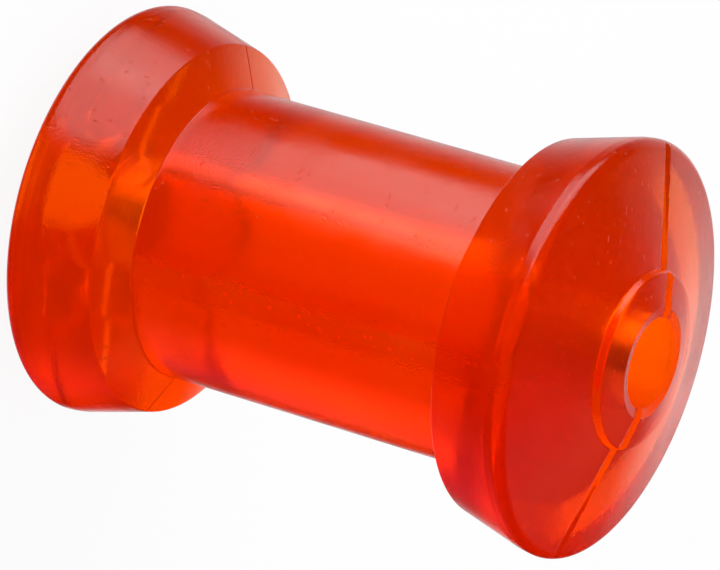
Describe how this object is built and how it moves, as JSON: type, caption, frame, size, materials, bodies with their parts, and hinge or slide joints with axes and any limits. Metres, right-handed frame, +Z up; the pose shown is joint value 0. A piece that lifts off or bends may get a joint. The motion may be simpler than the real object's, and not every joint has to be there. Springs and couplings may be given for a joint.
{
  "type": "boat trailer keel roller",
  "caption": "Cotton-reel keel roller moulded in one piece: a straight barrel between two flanges with sloped inner faces, domed ends and a plain bore.",
  "frame": {"origin": "middle of the lower end land, on the axis of the bore", "axes": "+Z up along the bore, +X in the mould's parting plane"},
  "size_m": [0.075, 0.075, 0.117],
  "materials": {
    "polyurethane": "translucent red-orange cast polyurethane, glossy, with a fine orange-peel skin"
  },
  "bodies": {
    "root": {"roller": "polyurethane"}
  },
  "joints": []
}
